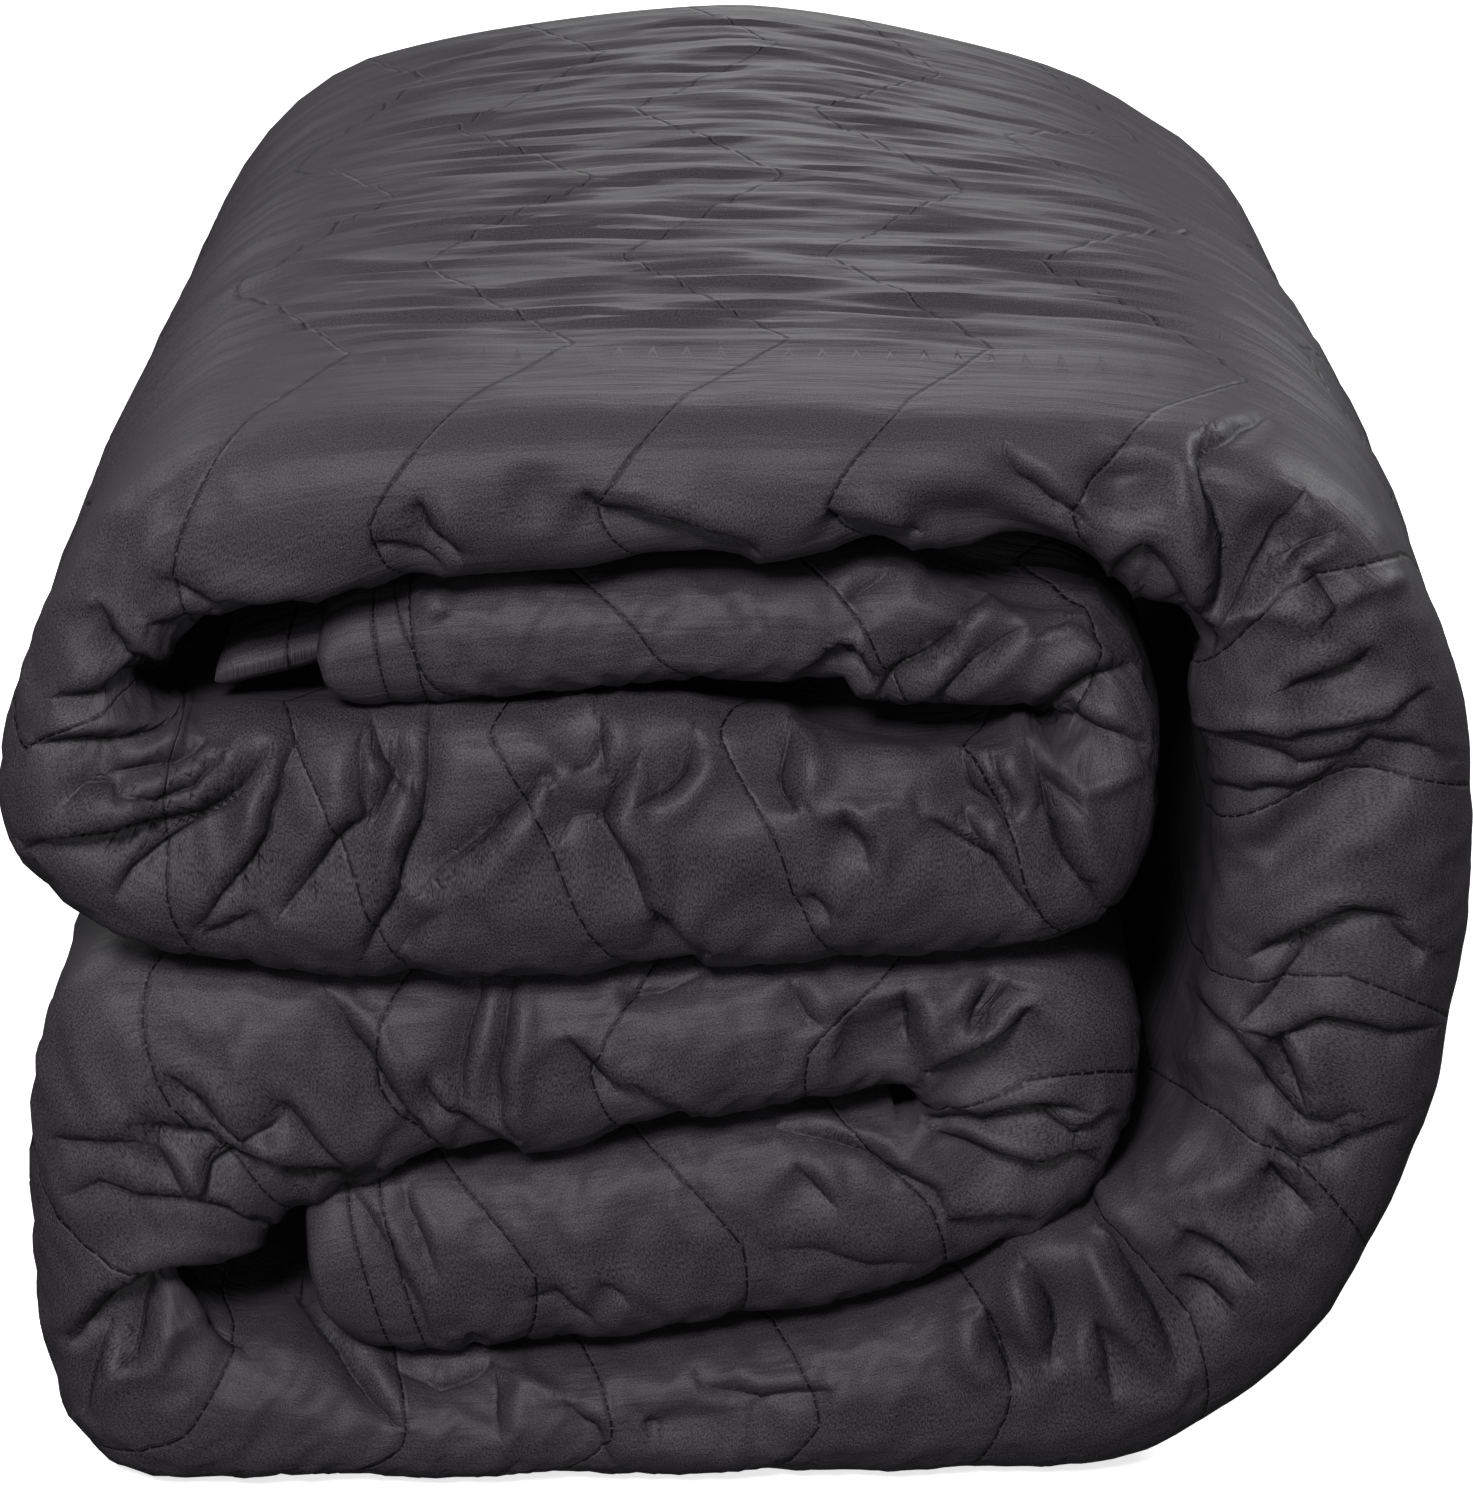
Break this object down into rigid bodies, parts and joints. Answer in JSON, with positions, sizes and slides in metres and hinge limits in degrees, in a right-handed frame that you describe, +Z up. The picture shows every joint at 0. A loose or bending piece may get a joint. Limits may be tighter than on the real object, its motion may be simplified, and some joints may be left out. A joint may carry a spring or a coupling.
{
  "type": "folded sound dampening blanket",
  "caption": "Thick quilted textile blanket, folded lengthwise and then over and over into a soft bundle that stands on a flat side.",
  "frame": {"origin": "middle of the footprint, on the surface that the bundle stands on", "axes": "+X to the right and -Y towards the closed front folds as seen in the picture, +Y along the folds, +Z up"},
  "size_m": [0.4156, 0.4562, 0.3401],
  "materials": {
    "quilted_fabric": "matt woven cotton with a faint sheen"
  },
  "bodies": {
    "root": {"blanket": "quilted_fabric"}
  },
  "joints": []
}
